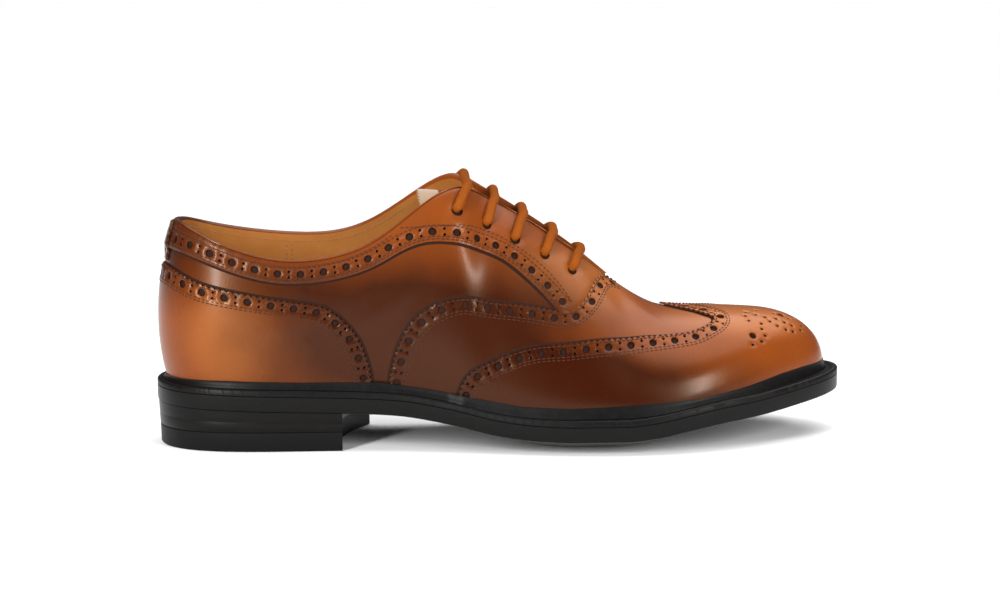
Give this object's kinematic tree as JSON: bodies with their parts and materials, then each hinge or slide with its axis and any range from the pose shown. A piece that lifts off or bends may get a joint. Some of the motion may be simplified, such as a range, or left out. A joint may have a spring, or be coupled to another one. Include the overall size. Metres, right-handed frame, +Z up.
{
  "type": "brogue shoe",
  "caption": "Right-foot oxford brogue: leather upper with winged toe cap, facings, counter and laces on a welted sole with a stacked heel",
  "frame": {"origin": "the middle of the footprint's bounding box, on the ground", "axes": "+X points to the toe, +Y to the inner side of the foot, +Z up; the shoe stands on its sole"},
  "size_m": [0.305, 0.1046, 0.1159],
  "materials": {
    "upper_leather": "burnished tan calf, polished",
    "lining_leather": "matt honey tan",
    "sole_leather": "black edge dressing, satin",
    "welt_leather": "black, satin",
    "heel_leather": "black edge dressing, satin",
    "top_piece_rubber": "matt black",
    "lace_cotton": "waxed round cord"
  },
  "bodies": {
    "root": {"outsole": "sole_leather", "welt": "welt_leather", "heel_stack": "heel_leather", "top_piece": "top_piece_rubber", "insole": "lining_leather", "upper": "upper_leather", "tongue": "upper_leather", "wing_cap": "upper_leather", "heel_counter": "upper_leather", "facing_lateral": "upper_leather", "facing_medial": "upper_leather", "back_strap": "upper_leather", "lace": "lace_cotton"}
  },
  "joints": []
}
